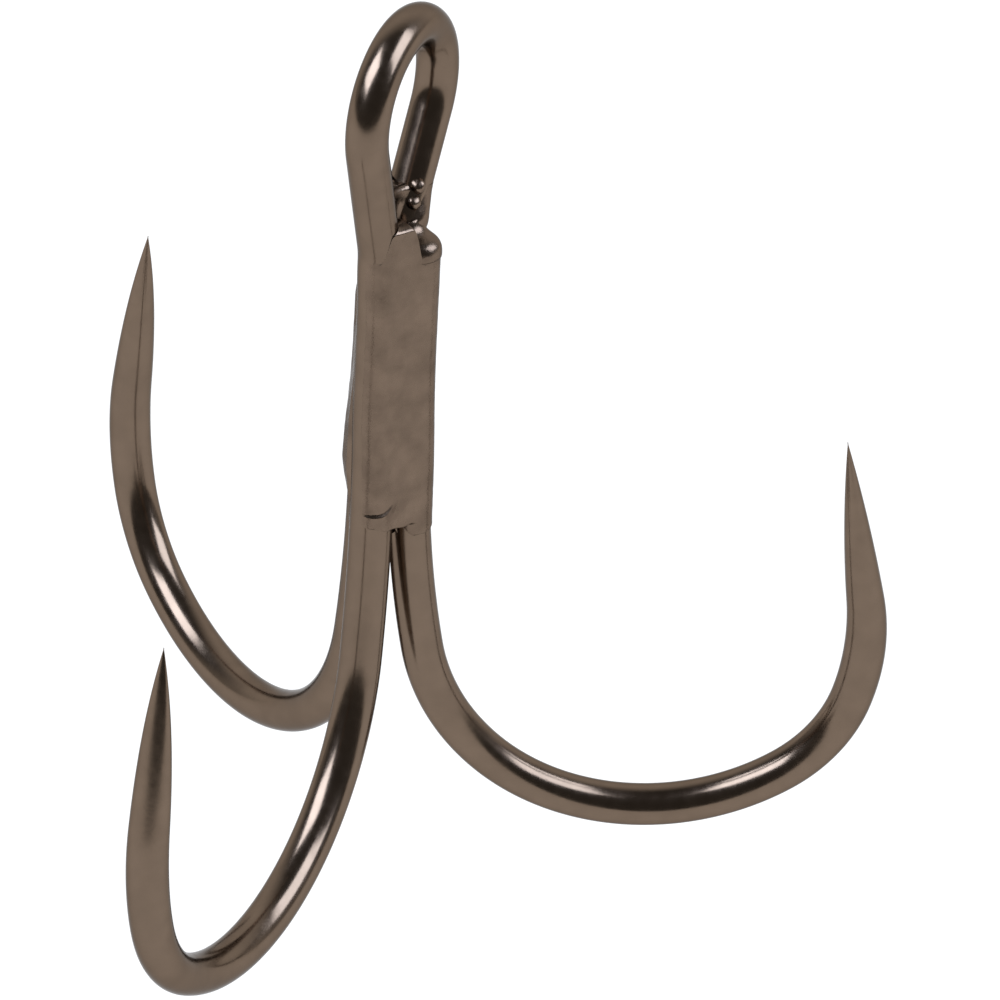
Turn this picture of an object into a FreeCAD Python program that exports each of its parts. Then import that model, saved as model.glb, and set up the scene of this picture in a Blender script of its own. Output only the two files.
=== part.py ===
import FreeCAD, Part
import math
import os

# A treble hook: a double hook whose wire also makes the eye, and a single hook brazed to it.
# Millimetres and degrees. +Z runs up the shank and +X is the way the single hook points.
# It is built with the shank's axis on Z, then moved so that the middle of the eye's head is
# the origin.

# Wire and joints
WIRE_DIAMETER = 1.2
FILM = 0.05  # braze film between wires that lie side by side
BRAZE_CLEARANCE = 0.01  # between a braze piece and the wires that it wets

# Hook profile, from the shank to the point: radius and turn of each stretch of the bend
BEND_START = 1.22  # height at which the shanks begin to part
EASE = (38.5, 10.4)  # long easy curve that carries the shank outward
HEEL = (7.03, 35.8)
BOTTOM = (6.79, 76.8)
TURN_UP = (4.49, 41.5)
POINT_LEG = (7.69, 25.3)  # leans back in toward the shank
POINT_RUN = 5.41  # straight length behind the tip
LEAN_RADIUS = 30.0  # gentle sideways curve that gives each hook its lean

# Needle point, ground more on the inner side
TAPER_LENGTH = 7.95
TAPER_FULLNESS_IN_PLANE = 2.0  # exponent of the taper: higher is blunter
TAPER_FULLNESS_ACROSS = 2.95
TIP_SHIFT = 0.10  # how far outside the wire's centre line the tip lies
TIP_HALF_WIDTH = 0.025
TAPER_SECTIONS = 12
TAPER_CROWDING = 0.7  # below 1 puts more of the sections near the tip

# Each hook: direction round the shank, lean toward the next hook, and how much lower it sits
DOUBLE_FRONT = (237.4, 1.87, -0.40)
DOUBLE_BACK = (116.0, -1.47, 0.31)
SINGLE = (0.0, 2.39, 0.26)
SEAT_TWIST = -3.2  # of the three shanks round the axis, from the single hook's direction

# Eye: its two legs step in from their shanks to a neck
EYE_DIRECTION = 59.1  # from its front leg to its back leg
NECK_OFFSET = (-0.10, 0.03)  # of the neck's middle from the shank's axis
SHANK_TOP = 7.18  # where the eye's two legs begin to spread
NECK_GAP = 0.09  # between those legs
NECK_RADIUS = 1.89
FRONT_SPREAD = 16.7
BACK_SPREAD = 30.6
HEAD_RADIUS = 2.23  # to the wire's centre line
CROSSOVER_HEIGHT = 1.9  # length of each leg's step from its shank to the neck

# Single hook's butt end
BUTT_RISE = -0.08  # above the top of the shank
CAP_HEIGHT = 0.48
CAP_ROUNDING = 0.26
CAP_OVERHANG = 0.04

# Groove brazes: how far each face lies under the line across both wires
FRONT_HOLLOW = 0.03
REAR_HOLLOW = 0.10
SIDE_HOLLOW = 0.06
FRONT_TOP_DROP = 0.20  # from the butt end down to the top of the front groove's braze
CROSSOVER_DROP = 0.22  # from the foot of the step down to the top of the other brazes
BRAZE_FOOT = -1.7
FOOT_HOLLOW = 0.5  # radius of the hollow lower end of each groove's braze
LUMP_HEIGHT = 1.0
LUMP_HALF_LENGTH = 2.4
LUMP_LAP = 0.13  # each side, over the wires' centre lines
LUMP_HALF_DEPTH = 0.5
LUMP_PROUD = 0.20  # of the line across both wires

# Eye throat braze
THROAT_HEIGHT = 1.15
THROAT_HOLLOW = 0.18  # how far each face lies under the wire's surface

RADIUS = WIRE_DIAMETER / 2
SPACING = WIRE_DIAMETER + FILM
SEAT_RADIUS = SPACING / math.sqrt(3)
SINGLE_SEAT = SEAT_TWIST
REAR_GROOVE = SEAT_TWIST + 60
BACK_SEAT = SEAT_TWIST + 120
SIDE_GROOVE = SEAT_TWIST + 180
FRONT_SEAT = SEAT_TWIST + 240
FRONT_GROOVE = SEAT_TWIST + 300
FLUSH = SEAT_RADIUS / 2 + RADIUS  # from the axis to the line across two neighbouring wires
CROSSOVER_FOOT = SHANK_TOP - CROSSOVER_HEIGHT
NECK_SPACING = WIRE_DIAMETER + NECK_GAP
BUTT_HEIGHT = SHANK_TOP + BUTT_RISE
UP = FreeCAD.Vector(0, 0, 1)
DOWN = UP * -1


def around(angle):
    """Unit vector at this angle round the shank, from +X."""
    turn = math.radians(angle)
    return FreeCAD.Vector(math.cos(turn), math.sin(turn), 0)


def seat(angle, height):
    """Centre of the shank that lies at this angle."""
    return around(angle) * SEAT_RADIUS + UP * height


class Path:
    """Centre line of a wire: straight runs and arcs, each tangent to the one before."""

    def __init__(self, start, heading):
        self.point = start
        self.heading = heading
        self.side = around(0)
        self.pieces = []
        self.length = 0.0

    def add(self, length, radius):
        if length > 0:
            self.pieces.append((self.length, length, radius, self.point, self.heading, self.side))
            self.length += length
            self.point, self.heading, self.side = self.at(self.length)

    def run(self, length):
        self.add(length, 0)

    def turn(self, radius, angle, toward=None):
        """An arc toward a direction, or on to the same side as the arc before."""
        if toward:
            self.side = toward - self.heading * toward.dot(self.heading)
            self.side.normalize()
        self.add(radius * math.radians(angle), radius)

    def at(self, distance):
        """Point, heading, and direction of the inner side of the bend, at a distance along."""
        begin, _, radius, point, heading, side = [p for p in self.pieces if p[0] <= distance][-1]
        if not radius:
            return point + heading * (distance - begin), heading, side
        angle = (distance - begin) / radius
        sine = math.sin(angle)
        cosine = math.cos(angle)
        reached = point + heading * (radius * sine) + side * (radius * (1 - cosine))
        return reached, heading * cosine + side * sine, side * cosine - heading * sine

    def edges(self, end):
        """Lines and arcs of the path, as far as this distance."""
        found = []
        for begin, length, radius, *_ in self.pieces:
            stop = min(begin + length, end)
            if stop <= begin:
                break
            first, middle, last = [self.at(d)[0] for d in (begin, (begin + stop) / 2, stop)]
            edge = Part.Arc(first, middle, last) if radius else Part.LineSegment(first, last)
            found.append(edge.toShape())
        return found


def hook_path(hook, seat_angle, top):
    """From the top of a shank down, round the bend and up to the tip."""
    direction, lean, drop = hook
    path = Path(seat(seat_angle, top), DOWN)
    path.run(top - BEND_START + drop - LEAN_RADIUS * math.radians(abs(lean)))
    outward = around(direction)
    sideways = UP.cross(outward) * math.copysign(1, lean)
    path.turn(LEAN_RADIUS, abs(lean), sideways)
    path.turn(*EASE, outward)
    for arc in (HEEL, BOTTOM, TURN_UP, POINT_LEG):
        path.turn(*arc)
    path.run(POINT_RUN)
    return path


def step_across(path, step, heading):
    """Two equal and opposite arcs that carry a leg sideways between its shank and the neck."""
    angle = 2 * math.atan(step.Length / CROSSOVER_HEIGHT)
    radius = CROSSOVER_HEIGHT / (2 * math.sin(angle))
    path.turn(radius, math.degrees(angle), step)
    path.turn(radius, math.degrees(angle), heading)


def neck_foot():
    """Centre of the front leg where the neck begins."""
    middle = FreeCAD.Vector(*NECK_OFFSET, SHANK_TOP)
    return middle - around(EYE_DIRECTION) * (NECK_SPACING / 2)


def eye_path():
    """From the front hook's shank, round the eye, to the back hook's. Also the head's centre."""
    across = around(EYE_DIRECTION)
    path = Path(seat(FRONT_SEAT, CROSSOVER_FOOT), UP)
    step_across(path, neck_foot() - seat(FRONT_SEAT, SHANK_TOP), UP)

    # In the eye's plane, from the foot of the front leg: the head's circle touches both legs.
    front = math.radians(FRONT_SPREAD)
    back = math.radians(BACK_SPREAD)
    front_x = -NECK_RADIUS * (1 - math.cos(front))
    front_z = NECK_RADIUS * math.sin(front)
    back_x = NECK_SPACING + NECK_RADIUS * (1 - math.cos(back))
    back_z = NECK_RADIUS * math.sin(back)
    front_offset = HEAD_RADIUS + front_x * math.cos(front) + front_z * math.sin(front)
    back_offset = HEAD_RADIUS - back_x * math.cos(back) + back_z * math.sin(back)
    head_x = math.sin(back) * front_offset - math.sin(front) * back_offset
    head_z = math.cos(back) * front_offset + math.cos(front) * back_offset
    head_x /= math.sin(front + back)
    head_z /= math.sin(front + back)
    centre = path.point + across * head_x + UP * head_z

    path.turn(NECK_RADIUS, FRONT_SPREAD, across * -1)
    path.run((head_z - HEAD_RADIUS * math.sin(front) - front_z) / math.cos(front))
    path.turn(HEAD_RADIUS, 180 + FRONT_SPREAD + BACK_SPREAD, across)
    path.run((head_z - HEAD_RADIUS * math.sin(back) - back_z) / math.cos(back))
    path.turn(NECK_RADIUS, BACK_SPREAD, DOWN)

    step_across(path, seat(BACK_SEAT, path.point.z) - path.point, DOWN)
    return path, centre


def sweep(edges, radius):
    """Round wire along connected edges."""
    line = Part.Wire(Part.__sortEdges__(edges))
    first = line.OrderedEdges[0]
    begin = line.OrderedVertexes[0].Point
    ends = (first.FirstParameter, first.LastParameter)
    heading = first.tangentAt(min(ends, key=lambda end: first.valueAt(end).distanceToPoint(begin)))
    section = Part.Wire(Part.makeCircle(radius, begin, heading))
    return line.makePipeShell([section], True, False)


def oval(centre, heading, side, along_side, across):
    """Closed oval wire, square to the heading and longest across the bend's plane."""
    half_width = max(along_side, TIP_HALF_WIDTH)
    curve = Part.Ellipse(centre, max(across, half_width), half_width)
    curve.Axis = heading
    curve.XAxis = heading.cross(side)
    return Part.Wire(curve.toShape())


def point_solid(path):
    """The ground point: ovals that shrink from the full wire to the tip."""
    sections = []
    for count in range(TAPER_SECTIONS + 1):
        left = (1 - count / TAPER_SECTIONS) ** (1 / TAPER_CROWDING)
        centre, heading, inner = path.at(path.length - TAPER_LENGTH * left)
        in_plane = RADIUS * (1 - (1 - left) ** TAPER_FULLNESS_IN_PLANE)
        across = RADIUS * (1 - (1 - left) ** TAPER_FULLNESS_ACROSS)
        centre = centre - inner * (TIP_SHIFT * (1 - left) ** 2)
        sections.append(oval(centre, heading, inner, in_plane, across))
    return Part.makeLoft(sections, True)


def hook_wire_edges(path):
    return path.edges(path.length - TAPER_LENGTH)


def double_hook(radius):
    """The double hook's bent wire, without its points, at this radius."""
    hooks = hook_wire_edges(front_hook) + hook_wire_edges(back_hook)
    return sweep(hooks + eye.edges(eye.length), radius)


def single_hook(radius):
    return sweep(hook_wire_edges(single), radius)


def groove_braze(direction, hollow, top):
    """Fill between two shanks: a bar from the core out to a flat face, hollowed at its foot."""
    inner = SEAT_RADIUS / 2
    face = FLUSH - hollow
    outward = around(direction)
    across = UP.cross(outward)
    corners = [
        outward * reach + across * (SPACING / 2 * side) + UP * BRAZE_FOOT
        for reach, side in ((inner, -1), (inner, 1), (face, 1), (face, -1), (inner, -1))
    ]
    bar = Part.Face(Part.makePolygon(corners)).extrude(UP * (top - BRAZE_FOOT))
    start = outward * face - across * SPACING + UP * BRAZE_FOOT
    return bar.cut(Part.makeCylinder(FOOT_HOLLOW, 2 * SPACING, start, across))


def lump():
    """The swelling of extra filler on the side groove."""
    ball = Part.makeSphere(1)
    size = FreeCAD.Matrix()
    size.scale(LUMP_HALF_DEPTH, SPACING / 2 + LUMP_LAP, LUMP_HALF_LENGTH)
    size.move(around(SIDE_GROOVE) * (FLUSH + LUMP_PROUD - LUMP_HALF_DEPTH) + UP * LUMP_HEIGHT)
    return ball.transformGeometry(size)


def core_braze():
    """The three-sided thread of filler in the middle of the shanks."""
    seats = (SINGLE_SEAT, BACK_SEAT, FRONT_SEAT, SINGLE_SEAT)
    corners = [seat(angle, BRAZE_FOOT) for angle in seats]
    height = CROSSOVER_FOOT - CROSSOVER_DROP - BRAZE_FOOT
    return Part.Face(Part.makePolygon(corners)).extrude(UP * height)


def throat_braze():
    """Web of filler between the eye's legs, with a hollow upper edge."""
    across = around(EYE_DIRECTION)
    through = UP.cross(across)
    thickness = WIRE_DIAMETER - 2 * THROAT_HOLLOW
    reach = across * NECK_SPACING
    height = UP * THROAT_HEIGHT
    corner = neck_foot() - through * (thickness / 2)
    outline = [corner, corner + reach, corner + reach + height, corner + height, corner]
    web = Part.Face(Part.makePolygon(outline)).extrude(through * thickness)
    start = corner + height + reach * 0.5 - through * thickness
    return web.cut(Part.makeCylinder(NECK_SPACING / 4, 3 * thickness, start, through))


def butt_cap():
    """Rounded bead of filler over the single hook's cut end."""
    centre = seat(SINGLE_SEAT, BUTT_HEIGHT + BRAZE_CLEARANCE)
    cap = Part.makeCylinder(RADIUS + CAP_OVERHANG, CAP_HEIGHT, centre)
    top_edges = [edge for edge in cap.Edges if edge.BoundBox.ZMin > centre.z]
    return cap.makeFillet(CAP_ROUNDING, top_edges)


front_hook = hook_path(DOUBLE_FRONT, FRONT_SEAT, CROSSOVER_FOOT)
back_hook = hook_path(DOUBLE_BACK, BACK_SEAT, CROSSOVER_FOOT)
single = hook_path(SINGLE, SINGLE_SEAT, BUTT_HEIGHT)
eye, eye_centre = eye_path()

double = double_hook(RADIUS).fuse([point_solid(front_hook), point_solid(back_hook)])
wet_by_double = double_hook(RADIUS + BRAZE_CLEARANCE)
wet_by_single = single_hook(RADIUS + BRAZE_CLEARANCE)
wet = [wet_by_double, wet_by_single]

core = core_braze()
cap = butt_cap()
front_groove = groove_braze(FRONT_GROOVE, FRONT_HOLLOW, BUTT_HEIGHT - FRONT_TOP_DROP)
rear_groove = groove_braze(REAR_GROOVE, REAR_HOLLOW, CROSSOVER_FOOT - CROSSOVER_DROP)
side_groove = groove_braze(SIDE_GROOVE, SIDE_HOLLOW, CROSSOVER_FOOT - CROSSOVER_DROP).fuse(lump())
parts = {
    "double_hook_wire": double,
    "single_hook_wire": single_hook(RADIUS).fuse(point_solid(single)).cut(wet_by_double),
    "core_braze": core.cut(wet),
    "front_groove_braze": front_groove.cut(wet),
    "rear_groove_braze": rear_groove.cut(wet),
    "side_groove_braze": side_groove.cut([*wet, core]),
    "eye_throat_braze": throat_braze().cut([*wet, cap, front_groove]),
    "butt_end_bead": cap.cut(wet),
}
os.makedirs("parts", exist_ok=True)
for name, shape in parts.items():
    solid, = shape.Solids
    solid.translate(eye_centre * -1)
    solid.exportStep("parts/" + name + ".step")
    print(name, round(solid.Volume, 4), "mm3", "valid" if solid.isValid() else "INVALID")
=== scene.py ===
import math
import bmesh
import bpy
import numpy as np
from mathutils import Matrix, Vector, noise


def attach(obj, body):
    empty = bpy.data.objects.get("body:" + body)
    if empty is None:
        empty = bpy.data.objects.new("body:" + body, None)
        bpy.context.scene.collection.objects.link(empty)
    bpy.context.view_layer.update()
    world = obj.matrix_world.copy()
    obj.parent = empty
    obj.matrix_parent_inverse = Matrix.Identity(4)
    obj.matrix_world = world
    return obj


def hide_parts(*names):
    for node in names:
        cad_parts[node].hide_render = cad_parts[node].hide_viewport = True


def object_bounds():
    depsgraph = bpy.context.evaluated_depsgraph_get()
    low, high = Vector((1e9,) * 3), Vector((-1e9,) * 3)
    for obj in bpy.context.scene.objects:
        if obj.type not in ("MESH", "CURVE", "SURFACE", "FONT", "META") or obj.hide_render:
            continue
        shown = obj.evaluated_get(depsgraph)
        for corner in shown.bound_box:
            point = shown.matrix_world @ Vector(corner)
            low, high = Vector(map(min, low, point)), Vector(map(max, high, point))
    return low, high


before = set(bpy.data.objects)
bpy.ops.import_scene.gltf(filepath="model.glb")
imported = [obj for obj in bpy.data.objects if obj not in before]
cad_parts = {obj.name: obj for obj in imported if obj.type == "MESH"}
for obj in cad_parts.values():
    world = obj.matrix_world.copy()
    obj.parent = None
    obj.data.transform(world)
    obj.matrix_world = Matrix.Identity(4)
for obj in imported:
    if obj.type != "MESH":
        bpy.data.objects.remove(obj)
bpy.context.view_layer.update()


# ---------------------------------------------------------------------------------------------
# Double hook wire
# One length of 1.2 mm high-carbon wire, ground to a needle at each end and bent, with its middle
# coiled into the closed eye. Plated dark bronze-nickel after brazing. Millimetres, shank on Z,
# until the mesh is made.
# ---------------------------------------------------------------------------------------------
WIRE_DIAMETER = 1.2
FILM = 0.05  # of filler between two shanks
BEND_START = 1.22  # height at which a hook's bend starts, before its drop
EASE = (38.5, 10.4)  # radius and degrees of each arc of the bend, from the shank to the point
HEEL = (7.03, 35.8)
BOTTOM = (6.79, 76.8)
TURN_UP = (4.49, 41.5)
POINT_LEG = (7.69, 25.3)
POINT_RUN = 5.41
LEAN_RADIUS = 30.0
DOUBLE_FRONT = (237.4, 1.87, -0.40)  # direction round the shank, lean, how much lower it sits
DOUBLE_BACK = (116.0, -1.47, 0.31)
SEAT_TWIST = -3.2
FRONT_SEAT = SEAT_TWIST + 240
BACK_SEAT = SEAT_TWIST + 120
EYE_DIRECTION = 59.1
NECK_OFFSET = (-0.10, 0.03)
SHANK_TOP = 7.18
NECK_GAP = 0.09
NECK_RADIUS = 1.89
FRONT_SPREAD = 16.7
BACK_SPREAD = 30.6
HEAD_RADIUS = 2.23
CROSSOVER_HEIGHT = 1.9

RADIUS = WIRE_DIAMETER / 2
SPACING = WIRE_DIAMETER + FILM
SEAT_RADIUS = SPACING / math.sqrt(3)
CROSSOVER_FOOT = SHANK_TOP - CROSSOVER_HEIGHT
UP = Vector((0, 0, 1))


def around(angle):
    """Unit vector at this angle round the shank, from +X."""
    return Vector((math.cos(math.radians(angle)), math.sin(math.radians(angle)), 0))


def seat(angle, height):
    return around(angle) * SEAT_RADIUS + UP * height


class WirePath:
    """Centre line of a wire: straight runs and arcs, each tangent to the one before."""

    def __init__(self, start, heading):
        self.point = start
        self.heading = heading
        self.side = around(0)
        self.pieces = []
        self.length = 0.0

    def add(self, length, radius):
        if length > 0:
            self.pieces.append((self.length, radius, self.point, self.heading, self.side))
            self.length += length
            self.point, self.heading, self.side = self.at(self.length)

    def run(self, length):
        self.add(length, 0)

    def turn(self, radius, angle, toward=None):
        if toward:
            self.side = toward - self.heading * toward.dot(self.heading)
            self.side.normalize()
        self.add(radius * math.radians(angle), radius)

    def at(self, distance):
        """Point, heading, and inner side of the bend, at a distance along."""
        begin, radius, point, heading, side = [p for p in self.pieces if p[0] <= distance][-1]
        if not radius:
            return point + heading * (distance - begin), heading, side
        sine = math.sin((distance - begin) / radius)
        cosine = math.cos((distance - begin) / radius)
        reached = point + heading * (radius * sine) + side * (radius * (1 - cosine))
        return reached, heading * cosine + side * sine, side * cosine - heading * sine


def hook_path(hook, seat_angle, top):
    """From the top of a shank down, round the bend and up to the tip."""
    direction, lean, drop = hook
    path = WirePath(seat(seat_angle, top), -UP)
    path.run(top - BEND_START + drop - LEAN_RADIUS * math.radians(abs(lean)))
    outward = around(direction)
    path.turn(LEAN_RADIUS, abs(lean), UP.cross(outward) * math.copysign(1, lean))
    path.turn(*EASE, outward)
    for arc in (HEEL, BOTTOM, TURN_UP, POINT_LEG):
        path.turn(*arc)
    path.run(POINT_RUN)
    return path


def step_across(path, step, heading):
    """Two equal and opposite arcs that carry a leg sideways between its shank and the neck."""
    angle = 2 * math.atan(step.length / CROSSOVER_HEIGHT)
    radius = CROSSOVER_HEIGHT / (2 * math.sin(angle))
    path.turn(radius, math.degrees(angle), step)
    path.turn(radius, math.degrees(angle), heading)


def eye_path():
    """From the front hook's shank, round the eye, to the back hook's. Also the head's centre."""
    across = around(EYE_DIRECTION)
    neck_spacing = WIRE_DIAMETER + NECK_GAP
    neck_foot = Vector((*NECK_OFFSET, SHANK_TOP)) - across * (neck_spacing / 2)
    path = WirePath(seat(FRONT_SEAT, CROSSOVER_FOOT), UP)
    step_across(path, neck_foot - seat(FRONT_SEAT, SHANK_TOP), UP)
    front = math.radians(FRONT_SPREAD)
    back = math.radians(BACK_SPREAD)
    front_x = -NECK_RADIUS * (1 - math.cos(front))
    front_z = NECK_RADIUS * math.sin(front)
    back_x = neck_spacing + NECK_RADIUS * (1 - math.cos(back))
    back_z = NECK_RADIUS * math.sin(back)
    front_offset = HEAD_RADIUS + front_x * math.cos(front) + front_z * math.sin(front)
    back_offset = HEAD_RADIUS - back_x * math.cos(back) + back_z * math.sin(back)
    head_x = math.sin(back) * front_offset - math.sin(front) * back_offset
    head_z = math.cos(back) * front_offset + math.cos(front) * back_offset
    head_x /= math.sin(front + back)
    head_z /= math.sin(front + back)
    centre = path.point + across * head_x + UP * head_z
    path.turn(NECK_RADIUS, FRONT_SPREAD, -across)
    path.run((head_z - HEAD_RADIUS * math.sin(front) - front_z) / math.cos(front))
    path.turn(HEAD_RADIUS, 180 + FRONT_SPREAD + BACK_SPREAD, across)
    path.run((head_z - HEAD_RADIUS * math.sin(back) - back_z) / math.cos(back))
    path.turn(NECK_RADIUS, BACK_SPREAD, -UP)
    step_across(path, seat(BACK_SEAT, path.point.z) - path.point, -UP)
    return path, centre


front_hook = hook_path(DOUBLE_FRONT, FRONT_SEAT, CROSSOVER_FOOT)
back_hook = hook_path(DOUBLE_BACK, BACK_SEAT, CROSSOVER_FOOT)
eye, eye_centre = eye_path()


def to_frame(point):
    """From millimetres on the shank's axis to the frame's metres, with the eye at the origin."""
    return (Vector(point) - eye_centre) * 0.001


STATION_STEP = 0.11  # along the wire
TIP_STEP = 0.03  # the same at the tip
TIP_STEP_GROWTH = 0.05  # and how much it grows with each millimetre from there


def stations(path, to_tip=True):
    """Points along a wire, closer together toward a tip: place, inner side, distance to the tip."""
    found = []
    distance = 0.0
    while distance < path.length - 1e-6:
        point, _, side = path.at(distance)
        left = path.length - distance if to_tip else path.length
        found.append((point, side, left))
        tapering = TIP_STEP + left * TIP_STEP_GROWTH
        distance += min(STATION_STEP, tapering) if to_tip else STATION_STEP
    point, _, side = path.at(path.length)
    found.append((point, side, 0.0 if to_tip else path.length))
    return found


def centre_line(name, found):
    """The stations as a line of edges that carries the inner side and the distance to the tip."""
    mesh = bpy.data.meshes.new(name)
    edges = [(i, i + 1) for i in range(len(found) - 1)]
    mesh.from_pydata([to_frame(point) for point, _, _ in found], edges, [])
    inner = mesh.attributes.new("inner_side", "FLOAT_VECTOR", "POINT")
    inner.data.foreach_set("vector", [value for _, side, _ in found for value in side])
    to_tip = mesh.attributes.new("to_tip", "FLOAT", "POINT")
    to_tip.data.foreach_set("value", [left * 0.001 for _, _, left in found])
    piece = bpy.data.objects.new(name, mesh)
    bpy.context.scene.collection.objects.link(piece)
    return piece


TAPER_LENGTH = 7.95
FULLNESS_IN_PLANE = 2.0
FULLNESS_ACROSS = 2.95
TIP_SHIFT = 0.10  # in the plane of the bend
TIP_FLOOR = 0.02  # least share of the wire's thickness
WIRE_SIDES = 64


def wire_tree():
    """Geometry nodes that draw a wire along its centre line and grind its ends to needle points."""
    tree = bpy.data.node_groups.new("drawn_and_ground_wire", "GeometryNodeTree")
    face = tree.interface
    face.new_socket("Centre Line", in_out="INPUT", socket_type="NodeSocketGeometry")
    sizes = {
        "Wire Diameter": WIRE_DIAMETER * 0.001,
        "Taper Length": TAPER_LENGTH * 0.001,
        "Fullness In Plane": FULLNESS_IN_PLANE,
        "Fullness Across": FULLNESS_ACROSS,
        "Tip Shift": TIP_SHIFT * 0.001,
        "Tip Floor": TIP_FLOOR,
    }
    for name, value in sizes.items():
        socket = face.new_socket(name, in_out="INPUT", socket_type="NodeSocketFloat")
        socket.default_value = value
    sides = face.new_socket("Sides", in_out="INPUT", socket_type="NodeSocketInt")
    sides.default_value = WIRE_SIDES
    face.new_socket("Finish", in_out="INPUT", socket_type="NodeSocketMaterial")
    face.new_socket("Wire", in_out="OUTPUT", socket_type="NodeSocketGeometry")
    nodes = tree.nodes
    links = tree.links
    inputs = nodes.new("NodeGroupInput")
    outputs = nodes.new("NodeGroupOutput")

    def add(kind, **settings):
        node = nodes.new(kind)
        for key, value in settings.items():
            setattr(node, key, value)
        return node

    def feed(node, *sources):
        for socket, source in zip(node.inputs, sources):
            if isinstance(source, (int, float)):
                socket.default_value = source
            elif source is not None:
                links.new(source, socket)
        return node.outputs[0]

    def sums(operation, *sources):
        return feed(add("ShaderNodeMath", operation=operation), *sources)

    def vector(operation, *sources):
        node = add("ShaderNodeVectorMath", operation=operation)
        feed(node, *sources)
        return node.outputs["Value" if operation == "DOT_PRODUCT" else "Vector"]

    def scaled(source, amount):
        node = add("ShaderNodeVectorMath", operation="SCALE")
        links.new(source, node.inputs["Vector"])
        links.new(amount, node.inputs["Scale"])
        return node.outputs["Vector"]

    curve = feed(add("GeometryNodeMeshToCurve"), inputs.outputs["Centre Line"])
    capture = add("GeometryNodeCaptureAttribute")
    capture.capture_items.new("VECTOR", "Centre")
    links.new(curve, capture.inputs["Geometry"])
    links.new(nodes.new("GeometryNodeInputPosition").outputs[0], capture.inputs["Centre"])
    ring = add("GeometryNodeCurvePrimitiveCircle", mode="RADIUS")
    links.new(inputs.outputs["Sides"], ring.inputs["Resolution"])
    links.new(sums("MULTIPLY", inputs.outputs["Wire Diameter"], 0.5), ring.inputs["Radius"])
    tube = add("GeometryNodeCurveToMesh")
    links.new(capture.outputs["Geometry"], tube.inputs["Curve"])
    links.new(ring.outputs["Curve"], tube.inputs["Profile Curve"])
    tube.inputs["Fill Caps"].default_value = True

    inner = add("GeometryNodeInputNamedAttribute", data_type="FLOAT_VECTOR")
    inner.inputs["Name"].default_value = "inner_side"
    to_tip = add("GeometryNodeInputNamedAttribute", data_type="FLOAT")
    to_tip.inputs["Name"].default_value = "to_tip"
    inner = inner.outputs["Attribute"]
    left = sums("DIVIDE", to_tip.outputs["Attribute"], inputs.outputs["Taper Length"])
    left = sums("MINIMUM", left, 1.0)
    gone = sums("SUBTRACT", 1.0, left)
    in_plane = sums("SUBTRACT", 1.0, sums("POWER", gone, inputs.outputs["Fullness In Plane"]))
    in_plane = sums("MAXIMUM", in_plane, inputs.outputs["Tip Floor"])
    across = sums("SUBTRACT", 1.0, sums("POWER", gone, inputs.outputs["Fullness Across"]))
    across = sums("MAXIMUM", across, inputs.outputs["Tip Floor"])

    position = nodes.new("GeometryNodeInputPosition").outputs[0]
    spoke = vector("SUBTRACT", position, capture.outputs["Centre"])
    toward = vector("DOT_PRODUCT", spoke, inner)
    along_inner = scaled(inner, toward)
    sideways = vector("SUBTRACT", spoke, along_inner)
    shift = sums("MULTIPLY", inputs.outputs["Tip Shift"], sums("MULTIPLY", gone, gone))
    place = vector("ADD", capture.outputs["Centre"], scaled(along_inner, in_plane))
    place = vector("ADD", place, scaled(sideways, across))
    place = vector("SUBTRACT", place, scaled(inner, shift))
    ground = add("GeometryNodeSetPosition")
    links.new(tube.outputs["Mesh"], ground.inputs["Geometry"])
    links.new(place, ground.inputs["Position"])
    smooth = add("GeometryNodeSetShadeSmooth")
    links.new(ground.outputs["Geometry"], smooth.inputs["Geometry"])
    realize = feed(add("GeometryNodeRealizeInstances"), smooth.outputs["Geometry"])
    finish = add("GeometryNodeSetMaterial")
    links.new(realize, finish.inputs["Geometry"])
    links.new(inputs.outputs["Finish"], finish.inputs["Material"])
    links.new(finish.outputs["Geometry"], outputs.inputs["Wire"])
    return tree


CLOUD_SCALE = 1400.0
GLOSS_SCALE = 3000.0
GRAIN_SCALE = 9000.0
GRAIN_DEPTH = 0.00002


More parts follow.
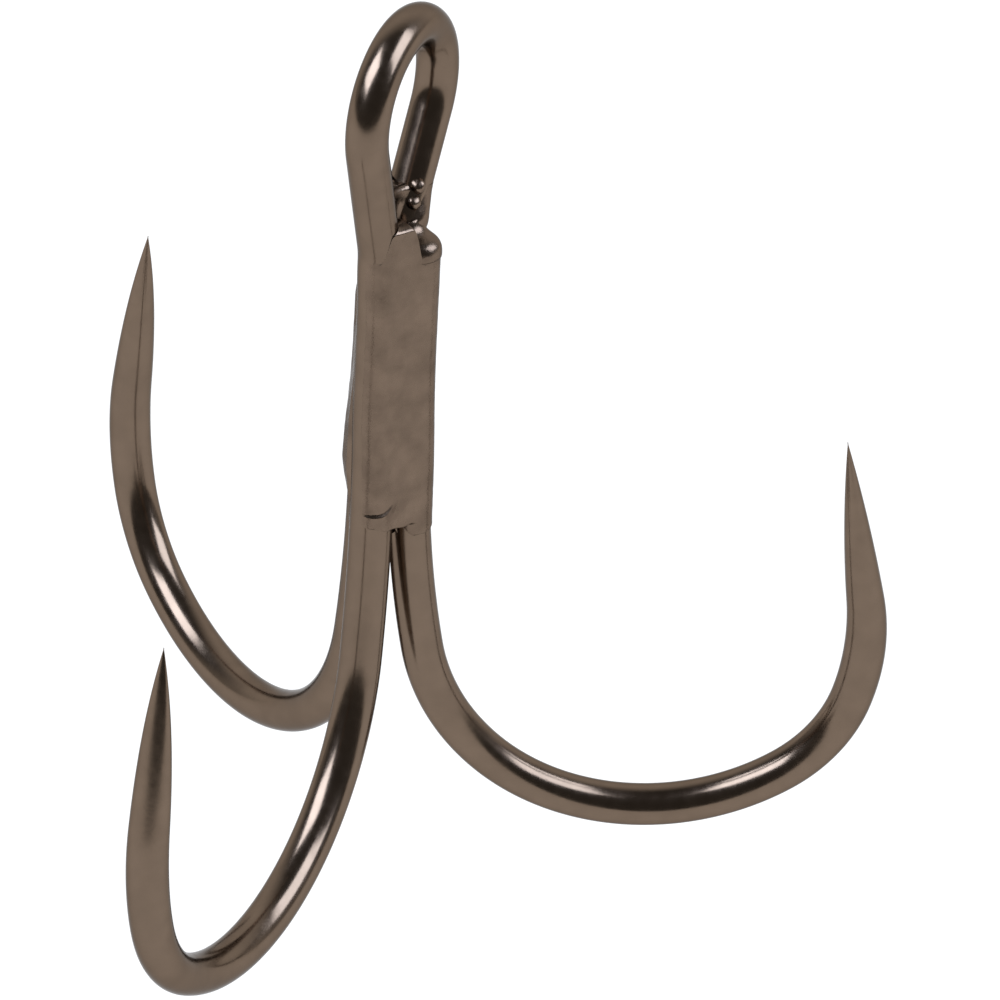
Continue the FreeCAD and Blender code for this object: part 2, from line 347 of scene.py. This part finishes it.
def plating(name, tint, roughness, grain, mottle):
    """Bright dark-bronze plating over polished metal: faint clouding, fine grain in the gloss."""
    material = bpy.data.materials.new(name)
    material.use_nodes = True
    nodes = material.node_tree.nodes
    links = material.node_tree.links
    shader = nodes["Principled BSDF"]
    shader.inputs["Metallic"].default_value = 1.0
    shader.inputs["Specular Tint"].default_value = (0.5, 0.5, 0.5, 1)
    place = nodes.new("ShaderNodeTexCoord").outputs["Object"]

    def cloud(scale, detail):
        node = nodes.new("ShaderNodeTexNoise")
        node.inputs["Scale"].default_value = scale
        node.inputs["Detail"].default_value = detail
        links.new(place, node.inputs["Vector"])
        return node.outputs["Fac"]

    def between(source, low, high):
        node = nodes.new("ShaderNodeMapRange")
        links.new(source, node.inputs["Value"])
        node.inputs["From Min"].default_value = 0.3
        node.inputs["From Max"].default_value = 0.7
        node.inputs["To Min"].default_value = low
        node.inputs["To Max"].default_value = high
        return node.outputs["Result"]

    ramp = nodes.new("ShaderNodeValToRGB")
    ramp.color_ramp.elements[0].position = 0.3
    ramp.color_ramp.elements[1].position = 0.7
    ramp.color_ramp.elements[0].color = (*(c * (1 - mottle) for c in tint), 1)
    ramp.color_ramp.elements[1].color = (*(c * (1 + mottle) for c in tint), 1)
    links.new(cloud(CLOUD_SCALE, 3.0), ramp.inputs["Fac"])
    links.new(ramp.outputs["Color"], shader.inputs["Base Color"])
    links.new(between(cloud(GLOSS_SCALE, 4.0), *roughness), shader.inputs["Roughness"])
    bump = nodes.new("ShaderNodeBump")
    bump.inputs["Strength"].default_value = grain
    bump.inputs["Distance"].default_value = GRAIN_DEPTH
    links.new(cloud(GRAIN_SCALE, 3.0), bump.inputs["Height"])
    links.new(bump.outputs["Normal"], shader.inputs["Normal"])
    return material


WIRE_TINT = (0.166, 0.120, 0.087)
WIRE_ROUGHNESS = (0.17, 0.24)
WIRE_GRAIN = 0.05
WIRE_MOTTLE = 0.06
wire_finish = plating("dark_bronze_plating", WIRE_TINT, WIRE_ROUGHNESS, WIRE_GRAIN, WIRE_MOTTLE)
drawn_wire = wire_tree()


def draw_wire(piece):
    """Runs the wire tree on a centre line and leaves a plain mesh."""
    modifier = piece.modifiers.new("draw", "NODES")
    modifier.node_group = drawn_wire
    for item in drawn_wire.interface.items_tree:
        if item.name == "Finish":
            modifier[item.identifier] = wire_finish
    bpy.context.view_layer.update()
    shown = piece.evaluated_get(bpy.context.evaluated_depsgraph_get())
    solid = bpy.data.meshes.new_from_object(shown)
    piece.modifiers.remove(modifier)
    piece.data = solid
    for attribute in ("inner_side", "to_tip"):
        if attribute in solid.attributes:
            solid.attributes.remove(solid.attributes[attribute])
    return piece


front_stations = stations(front_hook)
back_stations = stations(back_hook)
eye_stations = stations(eye, False)
double_stations = [*reversed(front_stations[1:]), *eye_stations, *back_stations[1:]]
double_wire = draw_wire(centre_line("double_hook_wire_plated", double_stations))
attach(double_wire, "root")
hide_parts("double_hook_wire")


# ---------------------------------------------------------------------------------------------
# Single hook wire
# A second length of the same wire, with one point. Its plain butt end stops under the eye, and
# it lies in the groove of the double hook's shanks.
# ---------------------------------------------------------------------------------------------
SINGLE = (0.0, 2.39, 0.26)
BUTT_RISE = -0.08
BUTT_HEIGHT = SHANK_TOP + BUTT_RISE

single_hook = hook_path(SINGLE, SEAT_TWIST, BUTT_HEIGHT)
single_wire = draw_wire(centre_line("single_hook_wire_plated", stations(single_hook)))
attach(single_wire, "root")
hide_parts("single_hook_wire")


# ---------------------------------------------------------------------------------------------
# Core braze
# The thread of copper-based filler that was drawn into the three-sided space between the shanks
# when the hook went through the brazing furnace. Plated over with the rest.
# ---------------------------------------------------------------------------------------------
BRAZE_FOOT = -1.9
CROSSOVER_DROP = 0.22  # from where the legs start to cross over, down to the fill's top
GAP = 0.003  # how far a braze reaches under the wire's surface, so that no light shows between
CORE_ARC_STEPS = 10
CORE_LEVELS = 60
DOUBLE_UPPER_STATIONS = 90  # how many of a hook's stations, from its top down, a braze may follow
SINGLE_UPPER_STATIONS = 110
LOWEST_BESIDE = -5
HIGHEST_BESIDE = 10


def beside_shank(*routes):
    """Heights and places of a wire's centre line beside the shank, lowest first."""
    points = [point for found in routes for point, *_ in found]
    points = [point for point in points if LOWEST_BESIDE < point.z < HIGHEST_BESIDE]
    points.sort(key=lambda point: point.z)
    return np.array([tuple(point) for point in points])


def place_at(line, height):
    """Centre of a wire at this height."""
    x = np.interp(height, line[:, 2], line[:, 0])
    y = np.interp(height, line[:, 2], line[:, 1])
    return Vector((x, y, 0))


middle = len(eye_stations) // 2
front_leg = [station for station in eye_stations[:middle] if station[0].z < eye_centre.z]
back_leg = [station for station in eye_stations[middle:] if station[0].z < eye_centre.z]
front_line = beside_shank(front_stations[:DOUBLE_UPPER_STATIONS], front_leg)
back_line = beside_shank(back_stations[:DOUBLE_UPPER_STATIONS], back_leg)
single_line = beside_shank(stations(single_hook)[:SINGLE_UPPER_STATIONS])


SAME_PLACE = 1e-8  # metres


def solid_from_rows(name, solids, finish, node):
    """Closed skin over each list of rows of points, with a fan of faces over each end."""
    points = []
    faces = []
    for rows in solids:
        first = len(points)
        count = len(rows[0])
        points += [to_frame(point) for row in rows for point in row]
        for r in range(len(rows) - 1):
            for c in range(count):
                nearer = first + r * count + c
                following = first + r * count + (c + 1) % count
                faces.append((nearer, following, following + count, nearer + count))
        for row, turned in ((0, True), (len(rows) - 1, False)):
            points.append(sum((to_frame(point) for point in rows[row]), Vector()) / count)
            for c in range(count):
                rim = (first + row * count + c, first + row * count + (c + 1) % count)
                faces.append((*(reversed(rim) if turned else rim), len(points) - 1))
    mesh = bpy.data.meshes.new(name)
    mesh.from_pydata(points, [], faces)
    skin = bmesh.new()
    skin.from_mesh(mesh)
    bmesh.ops.remove_doubles(skin, verts=skin.verts, dist=SAME_PLACE)
    bmesh.ops.recalc_face_normals(skin, faces=skin.faces)
    skin.to_mesh(mesh)
    skin.free()
    mesh.shade_smooth()
    mesh.materials.append(finish)
    piece = bpy.data.objects.new(name, mesh)
    bpy.context.scene.collection.objects.link(piece)
    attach(piece, "root")
    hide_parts(node)
    return piece


BRAZE_TINT = (0.160, 0.115, 0.084)
BRAZE_ROUGHNESS = (0.20, 0.34)
BRAZE_GRAIN = 0.35
BRAZE_MOTTLE = 0.14
BRAZE_NAME = "dark_bronze_plating_on_braze"
braze_finish = plating(BRAZE_NAME, BRAZE_TINT, BRAZE_ROUGHNESS, BRAZE_GRAIN, BRAZE_MOTTLE)


def core_row(height):
    """The three-sided outline between the wires at one level, a little under their surfaces."""
    lines = (single_line, back_line, front_line)
    centres = [place_at(line, height) for line in lines]
    points = []
    befores = centres[-1:] + centres[:-1]
    afters = centres[1:] + centres[:1]
    for here, before, after in zip(centres, befores, afters):
        start = math.atan2(*(before - here).yx)
        sweep = (math.atan2(*(after - here).yx) - start + math.pi) % (2 * math.pi) - math.pi
        for step in range(CORE_ARC_STEPS + 1):
            angle = math.degrees(start + sweep * step / CORE_ARC_STEPS)
            points.append(here + around(angle) * (RADIUS - GAP) + UP * height)
    return points


core_top = CROSSOVER_FOOT - CROSSOVER_DROP
core_rows = [
    core_row(BRAZE_FOOT + (core_top - BRAZE_FOOT) * level / CORE_LEVELS)
    for level in range(CORE_LEVELS + 1)
]
solid_from_rows("core_braze_thread", [core_rows], braze_finish, "core_braze")


# ---------------------------------------------------------------------------------------------
# Front groove braze
# The fillet of filler between the single hook's shank and the double hook's front one, left by
# the same furnace pass. It is nearly full, and a thin film of it ran over both wires.
# ---------------------------------------------------------------------------------------------
FILLET_STEPS = 26
FILM_STEPS = 16
UNDER_STEPS = 12
THINNEST = 0.01  # thickness that is left where a fill ends


def fillet(half, depth):
    """Radius, centre height and contact angle of the arc that touches two round wires."""
    radius = (half * half + depth * depth - RADIUS * RADIUS) / (2 * (RADIUS - depth))
    return radius, radius + depth, math.atan2(radius + depth, half)


class Groove:
    """Filler between wires a and b: how deep it fills, and how far its skin wraps round each.

    Face gives the depth at a height and back the depth behind. Wraps are degrees round each
    wire, film is the film's thickness, and swell is the relief on the skin.
    """

    def __init__(self, lines, outward, face, back, wraps, film, swell):
        self.lines = lines
        self.outward = outward
        self.face = face
        self.back = back
        self.wraps = wraps
        self.film = film
        self.swell = swell

    def outline(self):
        """The stations round one level: which stretch, and how far along it."""
        found = [("film_a", 1 - step / FILM_STEPS) for step in range(FILM_STEPS)]
        found += [("face", step / FILLET_STEPS * 2 - 1) for step in range(FILLET_STEPS)]
        found += [("film_b", step / FILM_STEPS) for step in range(FILM_STEPS + 1)]
        found += [("under_b", step / UNDER_STEPS) for step in range(1, UNDER_STEPS)]
        found += [("back", 1 - step) for step in range(3)]
        return found + [("under_a", 1 - step / UNDER_STEPS) for step in range(1, UNDER_STEPS)]

    def point(self, stretch, along, height, fullness):
        """One point of the skin. Fullness runs from 0 at the ends of the fill to 1."""
        a, b = (place_at(line, height) for line in self.lines)
        half = (b - a).length / 2
        toward_b = (b - a).normalized()
        out = UP.cross(toward_b)
        out *= math.copysign(1, out.dot(self.outward))
        middle = (a + b) / 2 + UP * height
        depth = -self.back + THINNEST + (self.face(height) + self.back - THINNEST) * fullness
        radius, rise, contact = fillet(half, depth)
        back_radius, back_rise, back_contact = fillet(half, self.back)
        side = -1 if stretch.endswith("_a") else 1
        wrap = math.radians(self.wraps[0 if side < 0 else 1]) * fullness

        def on_wire(reach, angle):
            beside = toward_b * (side * (half - reach * math.cos(angle)))
            return middle + beside + out * (reach * math.sin(angle))

        if stretch.startswith("film"):
            angle = contact + wrap * along
            lift = self.film * fullness * math.sqrt(max(0.0, 1 - along ** 2)) - GAP * along
            lift += self.swell(side * (1 + along), height) * fullness * (1 - along ** 4)
            return on_wire(RADIUS + lift, angle)
        if stretch == "face":
            angle = along * (math.pi / 2 - contact)
            lift = (self.film + self.swell(along, height)) * fullness
            reach = radius - lift
            beside = toward_b * (reach * math.sin(angle))
            return middle + out * rise + beside - out * (reach * math.cos(angle))
        if stretch == "back":
            angle = along * (math.pi / 2 - back_contact)
            beside = toward_b * (back_radius * math.sin(angle))
            return middle - out * back_rise + beside + out * (back_radius * math.cos(angle))
        angle = contact + wrap - (contact + wrap + back_contact) * along
        return on_wire(RADIUS - GAP, angle)

    def rows(self, levels, foot, top, foot_length, top_length):
        """Levels from foot to top. Each column has its own foot and top, and the fill thins there."""
        found = []
        for level in levels:
            row = []
            for stretch, along in self.outline():
                across = along
                if stretch not in ("face", "back"):
                    past = along if stretch.startswith("film") else 1 - along
                    across = (1 + past) * (-1 if stretch.endswith("_a") else 1)
                low = foot(across)
                high = top(across)
                height = low + (high - low) * level
                near_foot = min(1.0, max(0.0, (height - low) / foot_length))
                near_top = min(1.0, max(0.0, (high - height) / top_length))
                fullness = math.sqrt(1 - (1 - near_foot) ** 2) * math.sqrt(1 - (1 - near_top) ** 2)
                row.append(self.point(stretch, along, height, fullness))
            found.append(row)
        return found


def crowded_levels(count, sharpness):
    """Levels from 0 to 1, closer together at both ends."""
    steps = [step / count for step in range(count + 1)]
    eased = [step * step * (3 - 2 * step) for step in steps]
    return [step * (1 - sharpness) + ease * sharpness for step, ease in zip(steps, eased)]


def bump_at(across, height, centre, size, lift):
    """A rounded swelling in the skin: centre and size are (across, height)."""
    distance = ((across - centre[0]) / size[0]) ** 2 + ((height - centre[1]) / size[1]) ** 2
    return lift * math.exp(-distance)


ACROSS_TO_LENGTH = 0.62
BROAD_RIPPLE = (2.6, 0.55)  # how close together, and how strong
FINE_RIPPLE = (6.5, 0.3)


def ripple(across, height, seed):
    """Slight unevenness of frozen filler."""
    place = Vector((across * ACROSS_TO_LENGTH + seed, height, seed))
    broad = noise.noise(place * BROAD_RIPPLE[0]) * BROAD_RIPPLE[1]
    return broad + noise.noise(place * FINE_RIPPLE[0]) * FINE_RIPPLE[1]


def smooth(value):
    """Eased from 0 to 1, and held beyond."""
    value = min(1.0, max(0.0, value))
    return value * value * (3 - 2 * value)


RUN_OUT_LIFT = 0.08
RUN_OUT_EDGE = -0.66  # height of the step at its left
RUN_OUT_CLIMB = 0.28
RUN_OUT_STEP = 0.07
RUN_OUT_FADE = 0.22


def run_out(across, height):
    """The last of the filler, which froze with a step along its upper edge on the front wire."""
    edge = RUN_OUT_EDGE + RUN_OUT_CLIMB * smooth((across + 1.3) / 1.0)
    below = edge - height
    strength = smooth((across + 1.98) / 0.25) * (1 - smooth((across + 1.2) / 1.0))
    fade = math.exp(-max(0.0, below) / RUN_OUT_FADE)
    return RUN_OUT_LIFT * strength * smooth(below / RUN_OUT_STEP) * fade


FRONT_RIPPLE = (0.010, 3.0)  # height and seed
ROUGH_PATCH = ((0.0, 4.6), (0.75, 1.3), 0.022)  # centre and size, across and up, and lift
ROUGH_PATCH_SEED = 31.0
SHANK_SWELLING = ((1.8, 0.2), (0.8, 2.0), 0.11)


def front_swell(across, height):
    lift = FRONT_RIPPLE[0] * ripple(across, height, FRONT_RIPPLE[1])
    rough = ripple(across * 1.6, height * 1.3, ROUGH_PATCH_SEED)
    lift += bump_at(across, height, *ROUGH_PATCH) * rough
    lift += bump_at(across, height, *SHANK_SWELLING)
    return lift + run_out(across, height)


FRONT_FOOT = -1.36
FRONT_FOOT_MIDDLE_DROP = 0.12
FRONT_FOOT_LEFT_RISE = 0.20
FRONT_FOOT_RIGHT_DROP = 0.50


def front_foot(across):
    crotch = FRONT_FOOT - FRONT_FOOT_MIDDLE_DROP * math.exp(-((across - 0.1) / 0.5) ** 2)
    left = FRONT_FOOT_LEFT_RISE * smooth((-across - 0.9) / 0.8)
    return crotch + left - FRONT_FOOT_RIGHT_DROP * smooth((across - 0.3) / 1.2)


FRONT_TOP_RISE = 0.42  # over the single hook's butt
FRONT_CROTCH_RISE = 0.92
FRONT_TOP_RIGHT_DROP = 0.34


def front_top(across):
    left = BUTT_HEIGHT + FRONT_TOP_RISE
    crotch = FRONT_CROTCH_RISE * smooth((across + 1.45) / 0.6) * (1 - smooth((across - 0.15) / 0.75))
    return left + crotch - FRONT_TOP_RIGHT_DROP * smooth((across - 0.2) / 0.7)


FRONT_OUTWARD = SEAT_TWIST + 300
FRONT_DEPTH = 0.575
FRONT_WRAPS = (74.0, 82.0)
FRONT_FILM = 0.012
FRONT_LEVELS = crowded_levels(190, 0.75)
FRONT_ENDS = (0.12, 0.16)  # how far from its foot and its top the fill thins

front_groove = Groove(
    (front_line, single_line),
    around(FRONT_OUTWARD),
    lambda height: FRONT_DEPTH,
    0.0,
    FRONT_WRAPS,
    FRONT_FILM,
    front_swell,
)
front_rows = front_groove.rows(FRONT_LEVELS, front_foot, front_top, *FRONT_ENDS)
solid_from_rows("front_groove_braze_skin", [front_rows], braze_finish, "front_groove_braze")


# ---------------------------------------------------------------------------------------------
# Rear groove braze
# The fillet on the other side of the single hook's shank, against the double hook's back one. It
# is a little less full than the front one, and its film hardly spreads over the wires.
# ---------------------------------------------------------------------------------------------
REAR_OUTWARD = SEAT_TWIST + 60
REAR_DEPTH = 0.50
REAR_WRAPS = (8.0, 8.0)
REAR_FILM = 0.004
REAR_RIPPLE = (0.012, 9.0)
REAR_FOOT = -1.75
REAR_FOOT_SLOPE = 0.12
REAR_TOP_SLOPE = 0.1
REAR_LEVELS = crowded_levels(90, 0.75)
REAR_ENDS = (0.5, 0.6)

rear_groove = Groove(
    (single_line, back_line),
    around(REAR_OUTWARD),
    lambda height: REAR_DEPTH,
    0.0,
    REAR_WRAPS,
    REAR_FILM,
    lambda across, height: REAR_RIPPLE[0] * ripple(across, height, REAR_RIPPLE[1]),
)
rear_rows = rear_groove.rows(
    REAR_LEVELS,
    lambda across: REAR_FOOT + REAR_FOOT_SLOPE * across,
    lambda across: CROSSOVER_FOOT - CROSSOVER_DROP + REAR_TOP_SLOPE * across,
    *REAR_ENDS,
)
solid_from_rows("rear_groove_braze_skin", [rear_rows], braze_finish, "rear_groove_braze")


# ---------------------------------------------------------------------------------------------
# Side groove braze
# The fillet between the double hook's own two shanks. Extra filler froze on its lower part as a
# long lump that stands a little proud of the wires.
# ---------------------------------------------------------------------------------------------
SIDE_OUTWARD = SEAT_TWIST + 180
SIDE_DEPTH = 0.54
SIDE_WRAPS = (14.0, 14.0)
SIDE_FILM = 0.006
SIDE_RIPPLE = (0.014, 15.0)
LUMP = ((0.0, 1.25), (1.2, 1.75), 0.22)
LUMP_FOOT = ((0.0, 0.25), (1.2, 0.80), 0.10)
SIDE_FOOT = -1.35
SIDE_FOOT_SLOPE = 0.15
SIDE_LEVELS = crowded_levels(110, 0.75)
SIDE_ENDS = (0.45, 0.6)


def side_swell(across, height):
    lift = SIDE_RIPPLE[0] * ripple(across, height, SIDE_RIPPLE[1])
    lift += bump_at(across, height, *LUMP)
    lift += bump_at(across, height, *LUMP_FOOT)
    return lift


side_groove = Groove(
    (back_line, front_line),
    around(SIDE_OUTWARD),
    lambda height: SIDE_DEPTH,
    0.0,
    SIDE_WRAPS,
    SIDE_FILM,
    side_swell,
)
side_rows = side_groove.rows(
    SIDE_LEVELS,
    lambda across: SIDE_FOOT - SIDE_FOOT_SLOPE * across,
    lambda across: CROSSOVER_FOOT - CROSSOVER_DROP,
    *SIDE_ENDS,
)
solid_from_rows("side_groove_braze_skin", [side_rows], braze_finish, "side_groove_braze")


# ---------------------------------------------------------------------------------------------
# Eye throat braze
# Filler that ran up between the eye's two legs, closed the crotch with a web, and left two small
# drops frozen on the back leg.
# ---------------------------------------------------------------------------------------------
THROAT_DROPS = (  # middle and radius of each
    ((0.66, 0.61, 8.86), 0.23),
    ((0.54, 0.43, 8.44), 0.23),
)
DROP_ROWS = 24
DROP_SIDES = 36
DROP_UNEVENNESS = 0.10
DROP_LUMPINESS = 1.3
DROP_SEED = 5.0


def drop_rows(middle, radius):
    """A frozen drop: a ball that surface tension left slightly out of round."""
    rows = []
    for row in range(1, DROP_ROWS):
        tilt = math.radians(180) * row / DROP_ROWS
        found = []
        for step in range(DROP_SIDES):
            toward = around(360 * step / DROP_SIDES) * math.sin(tilt) - UP * math.cos(tilt)
            uneven = noise.noise(toward * DROP_LUMPINESS + Vector(middle) * DROP_SEED)
            found.append(Vector(middle) + toward * radius * (1 + DROP_UNEVENNESS * uneven))
        rows.append(found)
    return rows


THROAT_RIPPLE = (0.010, 21.0)
LEG_SWELLING = ((1.9, 7.8), (0.6, 0.62), 0.21)


def throat_swell(across, height):
    lift = THROAT_RIPPLE[0] * ripple(across, height, THROAT_RIPPLE[1])
    return lift + bump_at(across, height, *LEG_SWELLING)


THROAT_DEPTH = 0.50
THROAT_HOLLOW = 0.42  # how much shallower the web is at its top
THROAT_HOLLOW_FOOT = 7.3
THROAT_HOLLOW_LENGTH = 0.9


def throat_face(height):
    return THROAT_DEPTH - THROAT_HOLLOW * smooth((height - THROAT_HOLLOW_FOOT) / THROAT_HOLLOW_LENGTH)


THROAT_BACK = 0.36
THROAT_WRAPS = (6.0, 105.0)
THROAT_FILM = 0.002
THROAT_LEVELS = crowded_levels(110, 0.5)
THROAT_FOOT_DROP = 0.6  # below the single hook's butt
THROAT_RISE = 1.95  # above it
THROAT_TOP_SLOPE = 0.12
THROAT_ENDS = (0.3, 0.16)

throat = Groove(
    (front_line, back_line),
    around(EYE_DIRECTION - 90),
    throat_face,
    THROAT_BACK,
    THROAT_WRAPS,
    THROAT_FILM,
    throat_swell,
)
throat_rows = throat.rows(
    THROAT_LEVELS,
    lambda across: BUTT_HEIGHT - THROAT_FOOT_DROP,
    lambda across: BUTT_HEIGHT + THROAT_RISE - THROAT_TOP_SLOPE * across,
    *THROAT_ENDS,
)
throat_solids = [throat_rows, *(drop_rows(*drop) for drop in THROAT_DROPS)]
solid_from_rows("eye_throat_braze_web", throat_solids, braze_finish, "eye_throat_braze")


# ---------------------------------------------------------------------------------------------
# Butt end bead
# A bead of filler over the single hook's cut end, domed by its own surface tension, with a
# hollow fillet where it climbs the eye's neck.
# ---------------------------------------------------------------------------------------------
BEAD_HEIGHT = 0.55
BEAD_OVERHANG = 0.04
BEAD_SIDES = 64
BEAD_LEVELS = 40
BEAD_SQUARENESS = 3.0
BEAD_CLIMB = 0.42  # how far it wets its way up a leg
BEAD_CLIMB_REACH = 0.12

bead_centre = seat(SEAT_TWIST, BUTT_HEIGHT)


def bead_point(angle, turn):
    """Superellipse dome, drawn up where it wets the eye's two legs."""
    reach = (RADIUS + BEAD_OVERHANG) * math.cos(turn) ** (2 / BEAD_SQUARENESS)
    rise = BEAD_HEIGHT * math.sin(turn) ** (2 / BEAD_SQUARENESS)
    place = bead_centre + around(angle) * reach
    gaps = []
    for line in (front_line, back_line):
        leg = place_at(line, BUTT_HEIGHT + rise)
        gaps.append(max(0.0, math.hypot(place.x - leg.x, place.y - leg.y) - RADIUS))
    climb = sum(math.exp(-gap / BEAD_CLIMB_REACH) for gap in gaps)
    return place + UP * (rise + BEAD_CLIMB * math.sin(turn) * min(1.0, climb))


bead_rows = []
for level in range(BEAD_LEVELS):
    turn = math.radians(90) * level / BEAD_LEVELS
    bead_rows.append([bead_point(360 * step / BEAD_SIDES, turn) for step in range(BEAD_SIDES)])
solid_from_rows("butt_end_bead_dome", [bead_rows], braze_finish, "butt_end_bead")


# ---------------------------------------------------------------------------------------------
# Studio
# White paper well below the hook and two softboxes, one high on each side. The bright plating
# mirrors a dim room that is paler beyond the hook, while the camera itself sees plain white.
# ---------------------------------------------------------------------------------------------
FLOOR_DROP = 0.06
FLOOR_SIDE = 3.0
FLOOR_FRONT = 0.41  # the paper ends this far in front of the hook
PAPER_COLOUR = (0.1, 0.1, 0.1, 1)
PAPER_ROUGHNESS = 0.9
PAPER_BRIGHTNESS = 0.97

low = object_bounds()[0]
floor_z = low[2] - FLOOR_DROP
floor_corners = [
    (-FLOOR_SIDE, -FLOOR_FRONT, floor_z),
    (FLOOR_SIDE, -FLOOR_FRONT, floor_z),
    (FLOOR_SIDE, FLOOR_SIDE, floor_z),
    (-FLOOR_SIDE, FLOOR_SIDE, floor_z),
]
floor_mesh = bpy.data.meshes.new("floor")
floor_mesh.from_pydata(floor_corners, [], [(0, 1, 2, 3)])
floor = bpy.data.objects.new("floor", floor_mesh)
bpy.context.scene.collection.objects.link(floor)
paper = bpy.data.materials.new("white_paper")
paper.use_nodes = True
paper_shader = paper.node_tree.nodes["Principled BSDF"]
paper_shader.inputs["Base Color"].default_value = PAPER_COLOUR
paper_shader.inputs["Roughness"].default_value = PAPER_ROUGHNESS
paper_shader.inputs["Emission Color"].default_value = (1, 1, 1, 1)
paper_shader.inputs["Emission Strength"].default_value = PAPER_BRIGHTNESS
floor.data.materials.append(paper)

AIM = Vector((3.179, -0.652, -12.558)) * 0.001
DISTANCE = 0.36974
ELEVATION = 0.5611
ROLL = 0.0514
AZIMUTH = math.radians(-97.161)
LENS = 476.82
SENSOR = 36.0
CLIP_START = 0.01


def direction(turn, tilt):
    """Unit vector at this turn round Z and tilt above the floor, both in radians."""
    return Vector((math.cos(tilt) * math.cos(turn), math.cos(tilt) * math.sin(turn), math.sin(tilt)))


back = direction(AZIMUTH, ELEVATION)
level_right = Vector((-math.sin(AZIMUTH), math.cos(AZIMUTH), 0))
level_up = back.cross(level_right)
right = level_right * math.cos(ROLL) + level_up * math.sin(ROLL)
up = level_up * math.cos(ROLL) - level_right * math.sin(ROLL)
camera_data = bpy.data.cameras.new("camera")
camera_data.lens = LENS
camera_data.sensor_width = SENSOR
camera_data.clip_start = CLIP_START
camera = bpy.data.objects.new("camera", camera_data)
bpy.context.scene.collection.objects.link(camera)
camera.matrix_world = Matrix((
    (right.x, up.x, back.x, AIM.x + back.x * DISTANCE),
    (right.y, up.y, back.y, AIM.y + back.y * DISTANCE),
    (right.z, up.z, back.z, AIM.z + back.z * DISTANCE),
    (0, 0, 0, 1),
))
bpy.context.scene.camera = camera
bpy.context.scene.view_settings.view_transform = "Standard"

ROOM_LEVEL = 0.09
ROOM_GLOWS = (  # degrees from the camera, elevation, angles of full and of no glow, and level
    (180, 5, 30, 75, 0.85),
    (-115, -8, 5, 40, 0.35),
    (115, -8, 5, 45, 0.25),
)

world = bpy.data.worlds.new("studio")
bpy.context.scene.world = world
world.use_nodes = True
nodes = world.node_tree.nodes
links = world.node_tree.links
sky = nodes["Background"]
look = nodes.new("ShaderNodeTexCoord").outputs["Generated"]


def facing(azimuth, elevation, full, none):
    """How far a direction lies toward this one: 1 within one angle of it, 0 beyond the other."""
    toward = direction(math.radians(azimuth) + AZIMUTH, math.radians(elevation))
    dot = nodes.new("ShaderNodeVectorMath")
    dot.operation = "DOT_PRODUCT"
    links.new(look, dot.inputs[0])
    dot.inputs[1].default_value = toward
    ease = nodes.new("ShaderNodeMapRange")
    ease.interpolation_type = "SMOOTHSTEP"
    links.new(dot.outputs["Value"], ease.inputs["Value"])
    ease.inputs["From Min"].default_value = math.cos(math.radians(none))
    ease.inputs["From Max"].default_value = math.cos(math.radians(full))
    return ease.outputs["Result"]


total = None
for azimuth, elevation, full, none, level in ROOM_GLOWS:
    glow = nodes.new("ShaderNodeMath")
    glow.operation = "MULTIPLY_ADD"
    links.new(facing(azimuth, elevation, full, none), glow.inputs[0])
    glow.inputs[1].default_value = level
    glow.inputs[2].default_value = ROOM_LEVEL
    if total is not None:
        links.new(total, glow.inputs[2])
    total = glow.outputs[0]
seen = nodes.new("ShaderNodeLightPath").outputs["Is Camera Ray"]
mix = nodes.new("ShaderNodeMix")
mix.data_type = "FLOAT"
links.new(seen, mix.inputs["Factor"])
links.new(total, mix.inputs["A"])
mix.inputs["B"].default_value = 1.0
links.new(mix.outputs["Result"], sky.inputs["Strength"])
sky.inputs["Color"].default_value = (1, 1, 1, 1)

SOFTBOX_DISTANCE = 0.5
SOFTBOX_SIZE = 0.345
SOFTBOX_COLOUR = (0.69, 0.80, 1.0)
SOFTBOXES = (  # name, degrees from the camera, elevation, power
    ("left_softbox", -67, 50, 3.4),
    ("right_softbox", 87, 39, 2.6),
)
for name, azimuth, elevation, power in SOFTBOXES:
    toward = direction(math.radians(azimuth) + AZIMUTH, math.radians(elevation))
    lamp = bpy.data.lights.new(name, "AREA")
    lamp.shape = "SQUARE"
    lamp.size = SOFTBOX_SIZE
    lamp.energy = power
    lamp.color = SOFTBOX_COLOUR
    softbox = bpy.data.objects.new(name, lamp)
    bpy.context.scene.collection.objects.link(softbox)
    softbox.rotation_euler = toward.to_track_quat("Z", "Y").to_euler()
    softbox.location = AIM + toward * SOFTBOX_DISTANCE
